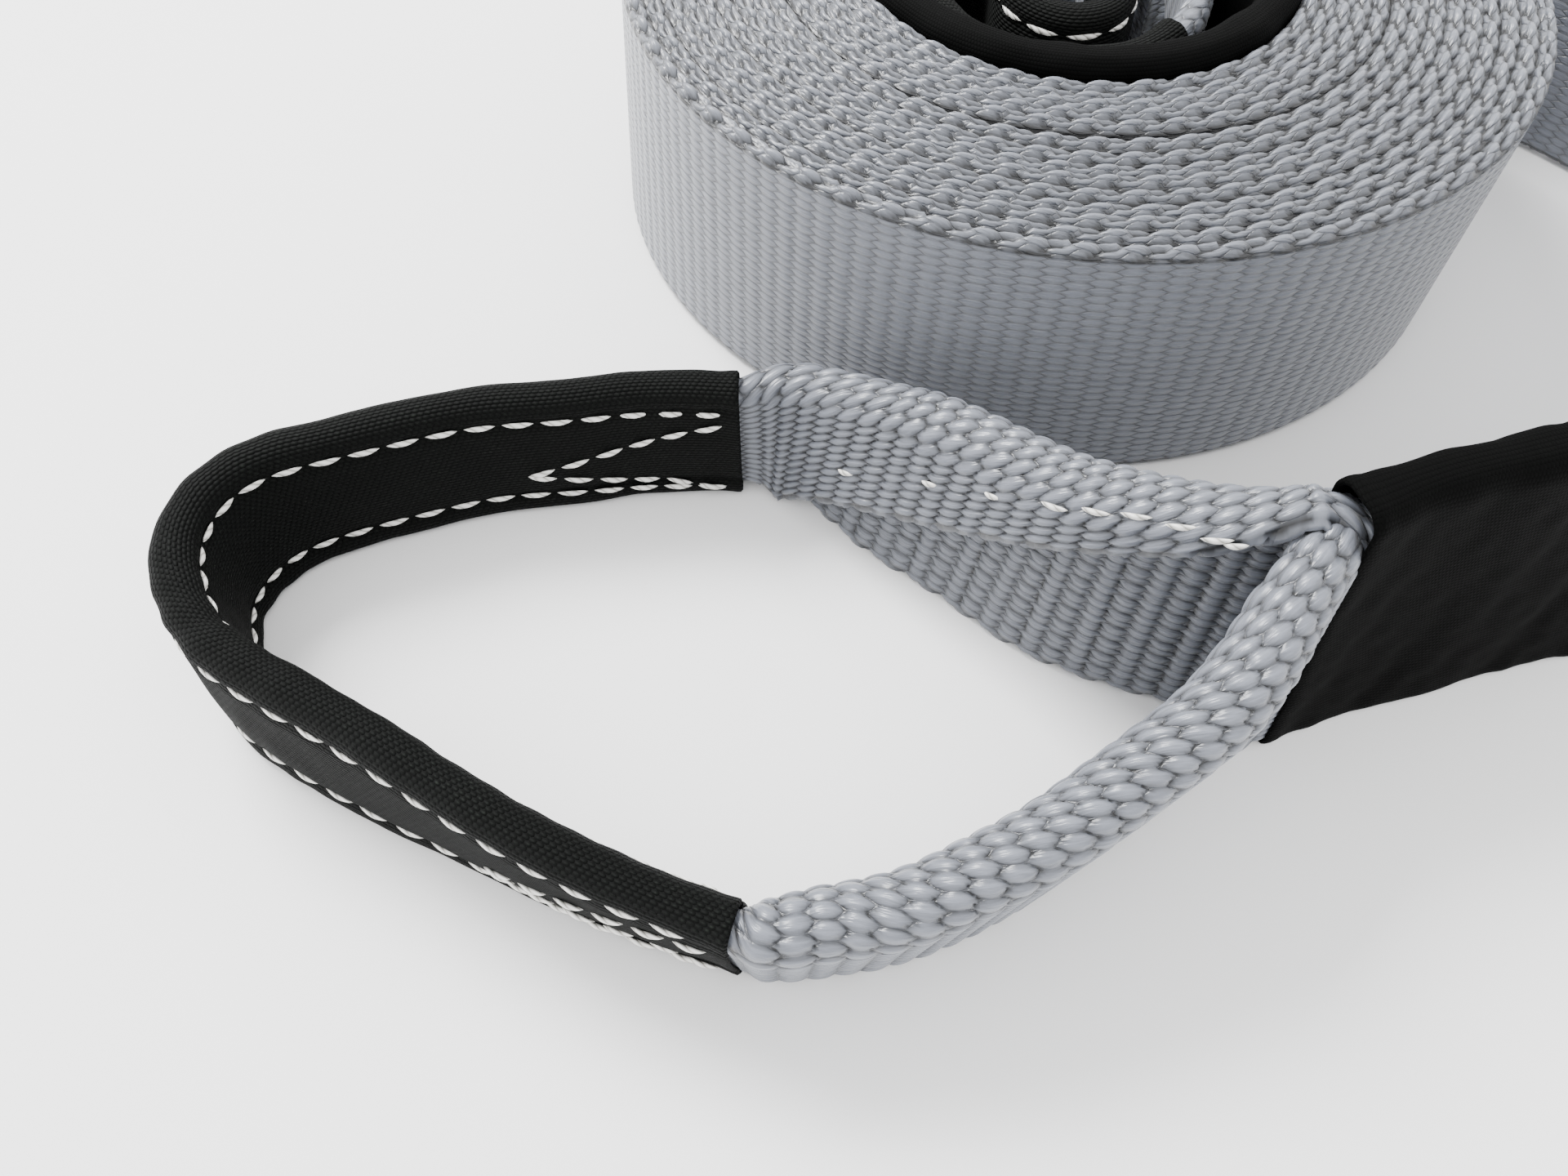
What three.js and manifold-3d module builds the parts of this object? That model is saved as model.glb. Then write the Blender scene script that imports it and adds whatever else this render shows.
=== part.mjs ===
// Tow strap: a coil of webbing whose outer end runs round to a free eye,
// and whose inner end carries a second eye rolled up inside the bore.
// Millimetres, +Z up, the underside of the coil on z = 0.
import * as THREE from 'three';
import Module from 'manifold-3d';
import { mergeVertices } from 'three/addons/utils/BufferGeometryUtils.js';

const wasm = await Module();
wasm.setup();

// Driving dimensions
const strapWidth = 50;
const turnPitch = 3.14;
const turnCount = 14;
const boreRadius = 43.3;
const layer = 3.2;
const turnGroove = 1.1;
const cloth = 0.8;
const gap = 0.3;
const bevel = 1.2;
const turnLand = 2.3;
const coilCentre = [55, 223.5];
const coilSegments = 48;
const stepsPerPoint = 3;

// Sizes that follow from them
const outerRadius = boreRadius + turnPitch * turnCount;
const lift = cloth + gap;
const foldedHalf = 0.067 * strapWidth;
const innerSpliceRadius = boreRadius - gap - cloth - gap - layer;

// Layout of the free eye in plan, in strap widths: x, y, height of the fold, half thickness
// across both layers, and lean, which is how far a point moves outwards for its height
const freeEyePoints = [
  [1.462, 1.735, 0.94, 0.075, 0.11], [1.368, 1.700, 0.96, 0.092, 0.14],
  [1.228, 1.717, 0.94, 0.102, 0.15], [0.995, 1.796, 0.87, 0.102, 0.18],
  [0.738, 1.933, 0.79, 0.097, 0.24], [0.479, 2.156, 0.69, 0.090, 0.31],
  [0.266, 2.336, 0.62, 0.080, 0.31], [0.096, 2.533, 0.55, 0.074, 0.20],
  [-0.040, 2.650, 0.51, 0.070, 0.10], [-0.165, 2.700, 0.49, 0.067, 0.00],
  [-0.50, 2.642, 0.49, 0.067, 0.01], [-0.74, 2.608, 0.49, 0.067, 0.03],
  [-0.99, 2.555, 0.49, 0.067, 0.06], [-1.24, 2.488, 0.49, 0.067, 0.06],
  [-1.48, 2.400, 0.49, 0.067, 0.07], [-1.715, 2.232, 0.50, 0.067, 0.07],
  [-1.813, 2.024, 0.50, 0.067, 0.01], [-1.793, 1.864, 0.50, 0.067, -0.07],
  [-1.683, 1.679, 0.49, 0.067, -0.12], [-1.465, 1.505, 0.49, 0.067, -0.11],
  [-1.227, 1.384, 0.49, 0.067, -0.08], [-0.98, 1.267, 0.49, 0.067, -0.01],
  [-0.725, 1.157, 0.49, 0.067, 0.06], [-0.47, 1.065, 0.49, 0.067, 0.12],
  [-0.10, 0.955, 0.49, 0.067, 0.20], [0.088, 0.977, 0.53, 0.080, 0.18],
  [0.261, 1.004, 0.57, 0.088, 0.18], [0.431, 1.061, 0.62, 0.090, 0.16],
  [0.618, 1.154, 0.67, 0.090, 0.16], [0.817, 1.283, 0.74, 0.090, 0.15],
  [1.041, 1.432, 0.83, 0.092, 0.13], [1.273, 1.604, 0.90, 0.094, 0.03],
  [1.400, 1.655, 0.93, 0.085, -0.04], [1.486, 1.675, 0.94, 0.072, -0.09],
];
const freeSleeveFrom = 9;
const freeSleeveTo = 24;

// Layout of the run from the coil to the free splice, in strap widths: x, y,
// the half thickness of the strap in layers, and the lean
const leaveAngle = Math.PI / 4;
const runPoints = [
  [3.05, 4.945, 0.5, 0], [3.50, 4.48, 0.5, 0], [3.77, 4.02, 0.5, 0], [3.86, 3.52, 0.5, 0],
  [3.79, 3.00, 0.5, 0.02], [3.55, 2.57, 0.5, 0.05], [3.17, 2.25, 0.5, 0.08],
  [2.76, 2.07, 0.55, 0.1], [2.62, 2.03, 1.0, 0.11], [2.335, 1.965, 1.0, 0.11],
  [2.154, 1.905, 1.0, 0.11], [1.925, 1.840, 1.0, 0.11], [1.643, 1.763, 1.1, 0.1],
  [1.474, 1.705, 1.25, 0.09], [1.40, 1.685, 1.25, 0.09],
];
const freeCoverFrom = [2.60, 1.474];

// Layout of the inner eye round the coil's centre, with its base and fold heights
const innerEyePoints = [
  [0.655, 0.417, 0.0, 1.00], [0.615, 0.480, 0.0, 1.00], [0.545, 0.590, 0.05, 0.98],
  [0.44, 0.645, 0.15, 0.95], [0.32, 0.62, 0.25, 0.92], [0.235, 0.50, 0.3, 0.88],
  [0.20, 0.33, 0.33, 0.86], [0.20, 0.15, 0.35, 0.85], [0.20, -0.02, 0.35, 0.85],
  [0.14, -0.17, 0.35, 0.85], [0.00, -0.24, 0.35, 0.85], [-0.14, -0.17, 0.35, 0.85],
  [-0.21, -0.02, 0.35, 0.85], [-0.20, 0.16, 0.35, 0.85], [-0.25, 0.31, 0.35, 0.85],
  [-0.38, 0.37, 0.35, 0.85], [-0.50, 0.26, 0.35, 0.85], [-0.555, 0.06, 0.35, 0.85],
  [-0.51, -0.20, 0.35, 0.85], [-0.36, -0.40, 0.35, 0.85], [-0.13, -0.50, 0.35, 0.85],
  [0.12, -0.50, 0.35, 0.85], [0.33, -0.37, 0.35, 0.86], [0.46, -0.18, 0.33, 0.88],
  [0.50, 0.02, 0.25, 0.93], [0.475, 0.20, 0.15, 0.97], [0.45, 0.33, 0.05, 1.0],
  [0.49, 0.42, 0.0, 1.00], [0.575, 0.44, 0.0, 1.00], [0.655, 0.400, 0.0, 1.00],
];
const innerSleeveFrom = 7;
const innerSleeveTo = 22;
const innerTurnFrom = 115;
const innerCoverFrom = 172;
const innerCoverTo = 386;

const toManifold = (geometry) => {
  const bare = geometry.clone();
  bare.deleteAttribute('normal');
  bare.deleteAttribute('uv');
  const merged = mergeVertices(bare, 1e-4);
  return new wasm.Manifold(new wasm.Mesh({
    numProp: 3,
    vertProperties: new Float32Array(merged.attributes.position.array),
    triVerts: new Uint32Array(merged.index.array),
  }));
};

const toGeometry = (solid) => {
  const mesh = solid.getMesh();
  const geometry = new THREE.BufferGeometry();
  geometry.setAttribute('position', new THREE.BufferAttribute(mesh.vertProperties, 3));
  geometry.setIndex(new THREE.BufferAttribute(mesh.triVerts, 1));
  return geometry;
};

// Stations along a path. Each row is x and y in plan, then up to three values that go with them
const curveOf = (rows, columns) => new THREE.CatmullRomCurve3(
  rows.map((row) => new THREE.Vector3(...columns.map((c) => row[c] ?? 0))), false, 'catmullrom', 0.5);
const stations = (rows) => {
  const plan = curveOf(rows, [0, 1]);
  const more = curveOf(rows, [2, 3, 4]);
  const count = (rows.length - 1) * stepsPerPoint;
  return Array.from({ length: count + 1 }, (_, i) => {
    const at = plan.getPoint(i / count);
    const values = more.getPoint(i / count);
    const along = plan.getTangent(i / count);
    return { x: at.x, y: at.y, nx: -along.y, ny: along.x, a: values.x, b: values.y, c: values.z };
  });
};

// A closed solid through one section per station: u across the strap, z upwards, sheared by the lean
const sweep = (line, section) => {
  const place = (s, u, z) => {
    const across = u - (s.lean ?? 0) * z;
    return [s.x + across * s.nx, s.y + across * s.ny, z];
  };
  const rings = line.map((s) => section(s).map(([u, z]) => place(s, u, z)));
  const size = rings[0].length;
  const position = rings.flat(2);
  const index = [];
  for (let i = 0; i + 1 < rings.length; i += 1) {
    for (let k = 0; k < size; k += 1) {
      const m = (k + 1) % size;
      const [a, b] = [i * size + k, i * size + m];
      index.push(a, b, a + size, b, b + size, a + size);
    }
  }
  const cap = (s, first, flip) => {
    const flat = section(s).map(([u, z]) => new THREE.Vector2(u, z));
    THREE.ShapeUtils.triangulateShape(flat, []).forEach(([a, b, c]) => {
      index.push(...(flip ? [first + a, first + c, first + b] : [first + a, first + b, first + c]));
    });
  };
  cap(line[0], 0, true);
  cap(line[line.length - 1], (rings.length - 1) * size, false);
  const geometry = new THREE.BufferGeometry();
  geometry.setAttribute('position', new THREE.Float32BufferAttribute(position, 3));
  geometry.setIndex(index);
  return toManifold(geometry);
};

const slab = (half, low, high) => [
  [-half, low], [half, low], [half, high], [-half, high],
];
const rounded = (half, low, high, c) => [
  [-half + c, low], [half - c, low], [half, low + c], [half, high - c],
  [half - c, high], [-half + c, high], [-half, high - c], [-half, low + c],
];
// Webbing folded lengthwise: the outer layer stands, and the flap hangs inside it
const folded = (half, low, high) => {
  const bend = half - layer / 2;
  const top = high - bend - layer / 2;
  const roof = high - layer;
  const flap = Math.max(low, Math.min(top - (strapWidth - (top - low) - Math.PI * bend), roof - 1));
  return [
    [-half, low], [-half + layer, low], [-half + layer, roof], [half - layer, roof],
    [half - layer, flap], [half, flap], [half, high - bevel], [half - bevel, high],
    [-half + bevel, high], [-half, high - bevel],
  ];
};

const scaleRows = (rows, origin, from, to) => rows.map((row) => row.map((value, i) => (
  i < 2 ? origin[i] + value * strapWidth : (i >= from && i <= to ? value * strapWidth : value))));

// The coil: one turned solid whose turns show as ridges on both ends
const profile = [];
for (let i = 0; i < turnCount; i += 1) {
  const middleOfTurn = boreRadius + (i + 0.5) * turnPitch;
  profile.push([middleOfTurn - turnPitch / 2, turnGroove]);
  profile.push([middleOfTurn - turnLand / 2, 0], [middleOfTurn + turnLand / 2, 0]);
}
profile.push([outerRadius, turnGroove], [outerRadius, strapWidth - turnGroove]);
for (let i = turnCount - 1; i >= 0; i -= 1) {
  const inner = boreRadius + i * turnPitch;
  profile.push([inner + turnPitch / 2, strapWidth], [inner, strapWidth - turnGroove]);
}
profile.push([...profile[0]]);
const ring = new THREE.LatheGeometry(profile.map(([r, z]) => new THREE.Vector2(r, z)), coilSegments);
ring.rotateX(Math.PI / 2);
ring.translate(coilCentre[0], coilCentre[1], 0);
const coil = toManifold(ring);

// The run from the coil to the mouth of the free splice
const polar = (radius, angle) => [
  coilCentre[0] + radius * Math.cos(angle), coilCentre[1] + radius * Math.sin(angle),
];
const outerTurn = outerRadius - layer / 2;
const ride = [0.5, 0.25, 0].map((extra) => [...polar(outerTurn - 0.2, leaveAngle + extra), 0.5, 0]);
const runRows = [...ride, ...scaleRows(runPoints, [0, 0], 9, 9)];
const leaning = (s, lean) => ({ ...s, lean });
const runLine = stations(runRows).map((s) => leaning(s, s.b));
const run = sweep(runLine, (s) => {
  const rise = Math.min(Math.max((s.a - 0.5) * 2, 0), 1) * lift;
  return slab(s.a * layer, rise, strapWidth + rise);
});

// The free eye, folded in half lengthwise, and its wear sleeve
const freeLine = stations(scaleRows(freeEyePoints, [0, 0], 2, 3)).map((s) => leaning(s, s.c));
const freeEye = sweep(freeLine, (s) => folded(s.b, lift, s.a + lift));
const span = (line, from, to, more) => (
  line.slice(from * stepsPerPoint - more, to * stepsPerPoint + 1 + more));
const sleeveShell = (line, from, to, low, high) => {
  const wall = (s) => rounded(foldedHalf + lift, low(s) - lift, high(s) + lift, bevel);
  const space = (s) => rounded(s.b + gap, low(s) - gap, high(s) + gap, 0.3);
  const shell = sweep(span(line, from, to, 0), wall);
  const hollow = sweep(span(line, from, to, 2), space);
  return shell.subtract(hollow);
};
const freeSleeve = sleeveShell(freeLine, freeSleeveFrom, freeSleeveTo, () => lift, (s) => s.a + lift);

// A cover over a splice, and the same wall grown by the gap, which the webbing keeps clear of
const coverHeight = strapWidth + 2 * lift;
const coverShell = (line, inside, more = 0) => {
  const thick = (s, extra) => Math.max(s.a, 1) * layer + extra;
  const shell = sweep(line, (s) => rounded(thick(s, lift + more), -more, coverHeight + more, bevel));
  const hollow = sweep(inside, (s) => (
    rounded(thick(s, gap - more), cloth + more, coverHeight - cloth - more, 0.3)));
  return shell.subtract(hollow);
};
const freeCoverLine = runLine.filter((s) => s.x < freeCoverFrom[0] * strapWidth
  && s.x > freeCoverFrom[1] * strapWidth - 0.01 && s.y < 2.1 * strapWidth);
const freeHollowLine = runLine.slice(runLine.indexOf(freeCoverLine[0]) - 1);
const last = freeHollowLine[freeHollowLine.length - 1];
const onward = (s, by) => ({ ...s, x: s.x + s.ny * by, y: s.y - s.nx * by });
const freeCover = coverShell(freeCoverLine, [...freeHollowLine, onward(last, 4)]);
const freeWall = coverShell([...freeCoverLine, onward(last, gap)], [...freeHollowLine, onward(last, 4)], gap);

// The inner end: the last turn steps inwards, is doubled in its splice, and opens into the eye
const degrees = (value) => value * Math.PI / 180;
const tail = [];
for (let a = innerTurnFrom; a <= innerCoverTo + 6; a += 6) {
  const blend = Math.min(Math.max((a - innerTurnFrom) / 40, 0), 1);
  const smooth = blend * blend * (3 - 2 * blend);
  const radius = (boreRadius + layer / 2 - 0.2) * (1 - smooth) + innerSpliceRadius * smooth;
  const half = a < innerCoverFrom - 6 ? 0.5 : 1;
  const [x, y] = polar(radius, degrees(a));
  tail.push({ x, y, nx: -Math.cos(degrees(a)), ny: -Math.sin(degrees(a)), a: half, b: smooth });
}
const innerRun = sweep(tail, (s) => slab(s.a * layer, s.b * lift, strapWidth + s.b * lift));
const innerCoverLine = tail.filter((s, i) => innerTurnFrom + 6 * i >= innerCoverFrom
  && innerTurnFrom + 6 * i <= innerCoverTo);
const before = tail[tail.indexOf(innerCoverLine[0]) - 1];
const after = tail[tail.indexOf(innerCoverLine[innerCoverLine.length - 1]) + 1];
const innerHollowLine = [before, ...innerCoverLine, after];
const innerCover = coverShell(innerCoverLine, innerHollowLine);
const innerEnd = innerCoverLine[innerCoverLine.length - 1];
const innerWall = coverShell([...innerCoverLine, onward(innerEnd, gap)], innerHollowLine, gap);
const innerRows = innerEyePoints.map(([x, y, base, top]) => [x, y, top, foldedHalf / strapWidth, base]);
const innerLine = stations(scaleRows(innerRows, coilCentre, 2, 4));
const baseOf = (s) => s.c + lift;
const foldOf = (s) => s.a + lift;
const innerEye = sweep(innerLine, (s) => folded(s.b, baseOf(s), foldOf(s)));
const innerSleeve = sleeveShell(innerLine, innerSleeveFrom, innerSleeveTo, baseOf, foldOf);

const freeEnd = run.add(freeEye).subtract(freeWall);
const innerEndPiece = innerRun.add(innerEye).subtract(innerWall);
const webbing = coil.add(freeEnd).add(innerEndPiece);

const greyWeb = { color: 0x9a9ca3, roughness: 0.55, metalness: 0 };
const blackTwill = { color: 0x0c0e0d, roughness: 0.85, metalness: 0 };
const blackKnit = { color: 0x070807, roughness: 0.95, metalness: 0 };

// The origin is under the middle of the whole strap
const whole = webbing.boundingBox();
const sleeveBox = freeSleeve.boundingBox();
const lowest = [0, 1].map((i) => Math.min(whole.min[i], sleeveBox.min[i]));
const highest = [0, 1].map((i) => Math.max(whole.max[i], sleeveBox.max[i]));
const middle = [0, 1].map((i) => (lowest[i] + highest[i]) / 2);

const group = new THREE.Group();
group.name = 'tow_strap';
const node = (name, solid, look) => {
  const geometry = toGeometry(solid);
  geometry.translate(-middle[0], -middle[1], 0);
  const mesh = new THREE.Mesh(geometry, new THREE.MeshStandardMaterial(look));
  mesh.name = name;
  group.add(mesh);
};
node('strap_webbing', webbing, greyWeb);
node('free_eye_sleeve', freeSleeve, blackTwill);
node('free_splice_cover', freeCover, blackKnit);
node('inner_eye_sleeve', innerSleeve, blackTwill);
node('inner_splice_cover', innerCover, blackKnit);

export default group;
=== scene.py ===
# %% [markdown]
# # A coiled tow strap
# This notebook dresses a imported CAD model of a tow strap. The strap is one long length of grey
# webbing, wound into a coil. Its outer end runs round to a free eye in front, and its inner end
# carries a second eye, rolled up inside the bore.

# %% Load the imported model
import bpy
import numpy as np
from mathutils import Matrix


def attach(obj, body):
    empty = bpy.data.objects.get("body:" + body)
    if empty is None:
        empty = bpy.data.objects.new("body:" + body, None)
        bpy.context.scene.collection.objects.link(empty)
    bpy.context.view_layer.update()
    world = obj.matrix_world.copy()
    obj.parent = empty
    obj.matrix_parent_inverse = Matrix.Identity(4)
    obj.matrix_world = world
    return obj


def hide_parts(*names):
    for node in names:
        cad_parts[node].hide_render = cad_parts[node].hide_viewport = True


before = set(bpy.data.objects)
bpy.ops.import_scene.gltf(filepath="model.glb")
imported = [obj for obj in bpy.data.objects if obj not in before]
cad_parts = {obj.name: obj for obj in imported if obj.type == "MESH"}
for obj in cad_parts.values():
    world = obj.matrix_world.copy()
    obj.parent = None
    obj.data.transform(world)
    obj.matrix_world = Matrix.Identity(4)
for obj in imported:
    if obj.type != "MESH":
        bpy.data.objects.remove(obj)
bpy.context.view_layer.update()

print("CAD nodes:", ", ".join(sorted(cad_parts)))

# %% [markdown]
# ## Camera
# The photograph looks down from close above, with a fairly wide lens, and cuts the coil off at
# the top and right. The lens and the height were worked out from the coil's rim and underside,
# which are circles 50 mm apart. The camera is made first, so that each piece can be judged
# against the photograph as soon as it exists.

# %% Camera
STRAP = 50.0                      # strap width in mm; plan points are given in strap widths
MIDDLE = np.array([49.626, 174.538])
PITCH = np.radians(56.8)          # below the horizon
ROLL = np.radians(0.2)
EYE_HEIGHT = 3.35 * STRAP
SENSOR = 36                       # mm
PHOTO_WIDTH = 1920                # pixels
FOCAL = 1430                      # pixels

forward = np.array([0, np.cos(PITCH), -np.sin(PITCH)])
level = np.array([1.0, 0, 0])
above = np.array([0, np.sin(PITCH), np.cos(PITCH)])
right = np.cos(ROLL) * level + np.sin(ROLL) * above
up = np.cos(ROLL) * above - np.sin(ROLL) * level
camera_data = bpy.data.cameras.new("camera")
camera_data.sensor_width = SENSOR
camera_data.lens = SENSOR * FOCAL / PHOTO_WIDTH
camera_data.clip_start = 0.01
camera = bpy.data.objects.new("camera", camera_data)
turn = np.eye(4)
turn[:3, :3] = np.stack([right, up, -forward], 1)
turn[:3, 3] = [-MIDDLE[0] / 1000, -MIDDLE[1] / 1000, EYE_HEIGHT / 1000]
camera.matrix_world = Matrix(turn.tolist())
bpy.context.scene.collection.objects.link(camera)
bpy.context.scene.camera = camera
print("lens %.1f mm" % camera_data.lens)

# %% [markdown]
# ## Skin over a grid of points
# Nearly everything here is a strip or a tube, so one function turns a grid of points into a
# closed skin: each row of the grid is a loop round the section, and the rows follow the strap.
# Blender takes whole arrays through foreach_set, which is far quicker than adding faces one by
# one.

# %% Grid skin
def skin(name, grid, uv, node, material, painted_gap_shade=None, ring=False):
    """Closed skin over grid[row, column], in mm: the columns close into loops, and a flat face
    closes each end. uv[row, column] has one column more than the grid, so that the pattern
    can run round the loop and stop at a seam. The optional painted gap shade is 0 on crests and 1
    in the gaps, and is stored as a point value that darkens the colour. In a ring the last row
    joins the first, so there are no end faces, and uv has one more row."""
    rows, cols = grid.shape[:2]
    i, j = np.meshgrid(np.arange(rows - 1 + ring), np.arange(cols), indexing="ij")
    k, after = (j + 1) % cols, (i + 1) % rows
    quads = np.stack([i * cols + j, i * cols + k, after * cols + k, after * cols + j], -1)
    corner = np.stack([uv[i, j], uv[i, j + 1], uv[i + 1, j + 1], uv[i + 1, j]], 2)
    quads, corner = quads.reshape(-1, 4), corner.reshape(-1, 4, 2)
    points = grid.reshape(-1, 3)
    a, b, c, d = (points[quads[:, n]] for n in range(4))
    volume = np.einsum("ij,ij->i", a, np.cross(b, c) + np.cross(c, d)).sum()
    first, final = np.arange(cols), np.arange(cols) + (rows - 1) * cols
    ends = [] if ring else [first[::-1], final]
    if volume < 0:
        quads, corner, ends = quads[:, ::-1], corner[:, ::-1], [end[::-1] for end in ends]
    loops = np.concatenate([quads.ravel()] + ends)
    starts = np.concatenate([np.arange(len(quads)) * 4, quads.size + cols * np.arange(len(ends))])
    mesh = bpy.data.meshes.new(name)
    mesh.vertices.add(len(points))
    mesh.vertices.foreach_set("co", (points / 1000).ravel())
    mesh.loops.add(len(loops))
    mesh.loops.foreach_set("vertex_index", loops.astype(np.int32))
    mesh.polygons.add(len(starts))
    mesh.polygons.foreach_set("loop_start", starts.astype(np.int32))
    caps = [] if ring else [uv[0, :cols], uv[-1, :cols]]
    flat = np.concatenate([corner.reshape(-1, 2)] + caps)
    mesh.uv_layers.new(name="weave").data.foreach_set("uv", (flat / 1000).ravel())
    # painted shade in the gaps, stored as a point value that the webbing material reads
    if painted_gap_shade is not None:
        mesh.attributes.new("painted_gap_shade", "FLOAT", "POINT").data.foreach_set("value", painted_gap_shade.ravel())
    mesh.update(calc_edges=True)
    mesh.validate()
    mesh.polygons.foreach_set("use_smooth", np.ones(len(starts), bool))
    piece = bpy.data.objects.new(name, mesh)
    bpy.context.scene.collection.objects.link(piece)
    mesh.materials.append(material)
    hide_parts(node)
    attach(piece, "root")
    print("%s: %d triangles" % (name, 2 * len(quads)))
    return piece


print("grid skin ready")

# %% [markdown]
# ## Smooth curves
# A strap bends smoothly, so the few points that lay out each stretch are joined by a
# spline. The other functions give what a strip needs along such a curve: its sideways
# direction, the distance travelled, and a soft change from one value to another.

# %% Smooth curves
def spline(rows, step):
    """Natural cubic spline through the rows, whose first two numbers are the plan point. The
    curve bends so that its second derivative is continuous, and is sampled every step mm."""
    rows = np.asarray(rows, float)
    gap = np.linalg.norm(np.diff(rows[:, :2], axis=0), axis=1)
    knot = np.concatenate([[0], np.cumsum(gap)])
    n = len(rows)
    k = np.arange(1, n - 1)
    matrix, target = np.eye(n), np.zeros(rows.shape)
    matrix[k, k - 1], matrix[k, k], matrix[k, k + 1] = gap[:-1], 2 * (gap[:-1] + gap[1:]), gap[1:]
    slope = np.diff(rows, axis=0) / gap[:, None]
    target[1:-1] = 6 * np.diff(slope, axis=0)
    bend = np.linalg.solve(matrix, target)

    def at(t):
        """The cubic of the knot span that t falls in."""
        m = np.clip(np.searchsorted(knot, t, side="right") - 1, 0, n - 2)
        h, x = gap[m][:, None], (t - knot[m])[:, None]
        first = slope[m] - h * (2 * bend[m] + bend[m + 1]) / 6
        return rows[m] + x * (first + x * (bend[m] / 2 + x * (bend[m + 1] - bend[m]) / (6 * h)))

    fine = at(np.linspace(0, knot[-1], 4000))
    run = np.concatenate([[0], np.cumsum(np.linalg.norm(np.diff(fine[:, :2], axis=0), axis=1))])
    count = int(round(run[-1] / step)) + 1
    even = np.linspace(0, run[-1], count)
    return np.stack([np.interp(even, run, fine[:, c]) for c in range(rows.shape[1])], 1)


def sideways(line):
    """Unit vector to the left of the direction of travel, from central differences."""
    along = np.gradient(line[:, :2], axis=0)
    along /= np.linalg.norm(along, axis=1)[:, None]
    return np.stack([-along[:, 1], along[:, 0]], 1)


def distance(line):
    """Distance travelled along the plan curve."""
    return np.concatenate([[0], np.cumsum(np.linalg.norm(np.diff(line[:, :2], axis=0), axis=1))])


def ease(x):
    """Smooth step from 0 to 1."""
    x = np.clip(x, 0, 1)
    return x * x * (3 - 2 * x)


print("curve tools ready")

# %% [markdown]
# ## Webbing
# The strap is a heavy flat weave. Its ribs cross the strap every 3.75 mm, and in each rib the
# lengthwise yarns float as small lens shapes, 1.6 mm apart, half a yarn out of step with the
# next rib. Along the edges one yarn in two turns round the weft, which gives a row of plump
# knuckles every second rib. Ribs and knuckles are real relief in every mesh, so that they
# catch the light and break the outline. The single yarns are relief only in the eyes.

# %% Weave relief
RIB = 3.75                        # mm from rib to rib
YARN = 1.6                        # mm from yarn to yarn
KNUCKLE = 2 * RIB
LENS_LENGTH = 1.25 * RIB
LENS_HALF = 0.54                  # half width of a lens at its middle, in yarns
LENS_TAPER = 0.5                  # how much of that is gone at the tips
LENS_POWER = 2.2
LENS_FALL = 0.9                   # how much of the squared height is gone at the tips


def lens(x, y):
    """A rounded cushion: the root of what is left of 1 after both squares are taken off."""
    return np.sqrt(np.clip(1 - x * x - y * y, 0, None))


def yarns(s, w):
    """Crest height, 0 to 1, of the yarns that float on the face. Each shows as a pointed lens one
    rib and a quarter long: its half width is half a yarn less the 2.2th power of the distance from
    its middle, and it is round across. Two families, one rib and half a yarn apart, interlock."""
    def family(s0, w0):
        x = (s - s0) / KNUCKLE
        y = (w - w0) / YARN
        x = np.minimum(np.abs(x - np.round(x)) * KNUCKLE / (LENS_LENGTH / 2), 1)
        y = (y - np.round(y)) / (LENS_HALF - LENS_TAPER * x ** LENS_POWER)
        return np.sqrt(np.clip(1 - y * y, 0, None)) * np.sqrt(1 - LENS_FALL * x * x)

    return np.maximum(family(0, 0), family(RIB, YARN / 2))


def ribs(s):
    """Low arch of each rib, in mm."""
    x = s / RIB + 0.5
    x = x - np.floor(x) - 0.5
    return 0.35 * np.sqrt(1 - 3.2 * x * x)


def knuckles(s, u):
    """Height of the strap's edge in mm: a slanting plump knuckle with a thin neck, a low one
    beside it and a bright dot of weft, repeated every second rib. u runs across the edge."""
    x = (s / KNUCKLE - np.floor(s / KNUCKLE) - 0.5) * KNUCKLE

    def lump(x0, u0, length, width, lean, height):
        """One lump, and its neighbours a pitch away on both sides."""
        near = x - x0 - KNUCKLE * np.round((x - x0) / KNUCKLE)
        return height * lens(near / length, (u - u0 - lean * near) / width)

    return np.maximum.reduce([
        lump(0.5, -0.2, 2.9, 1.15, -0.20, 1.45),
        lump(-3.0, 0.75, 1.9, 0.60, -0.12, 1.0),
        lump(3.9, -1.0, 1.7, 0.60, 0.0, 0.75),
        lump(2.9, 0.75, 0.75, 0.45, 0.0, 1.25),
    ])


print("a rib every %.2f mm, a knuckle every %.2f mm" % (RIB, KNUCKLE))

# %% [markdown]
# ## Node arithmetic
# A woven pattern is a formula, and in a material a formula is a chain of Math nodes. These
# short functions add one node each and join it up, so that the formulas below stay readable.

# %% Node arithmetic
def calculator(material):
    """Empties the material and returns its shader and a function that adds one math node."""
    material.use_nodes = True
    tree = material.node_tree
    tree.nodes.clear()
    shader = tree.nodes.new("ShaderNodeBsdfPrincipled")
    output = tree.nodes.new("ShaderNodeOutputMaterial")
    tree.links.new(shader.outputs[0], output.inputs[0])

    def math(operation, *values):
        """One Math node on numbers or on other nodes' outputs."""
        node = tree.nodes.new("ShaderNodeMath")
        node.operation = operation
        for socket, value in zip(node.inputs, values):
            if isinstance(value, (int, float)):
                socket.default_value = value
            else:
                tree.links.new(value, socket)
        return node.outputs[0]

    return tree, shader, math


def ramp(tree, value, stops):
    """Colour ramp through (place, colour) stops."""
    node = tree.nodes.new("ShaderNodeValToRGB")
    tree.links.new(value, node.inputs[0])
    elements = node.color_ramp.elements
    while len(elements) < len(stops):
        elements.new(0.5)
    for element, (place, colour) in zip(elements, stops):
        element.position = place
        element.color = (*colour, 1)
    return node.outputs[0]


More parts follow.
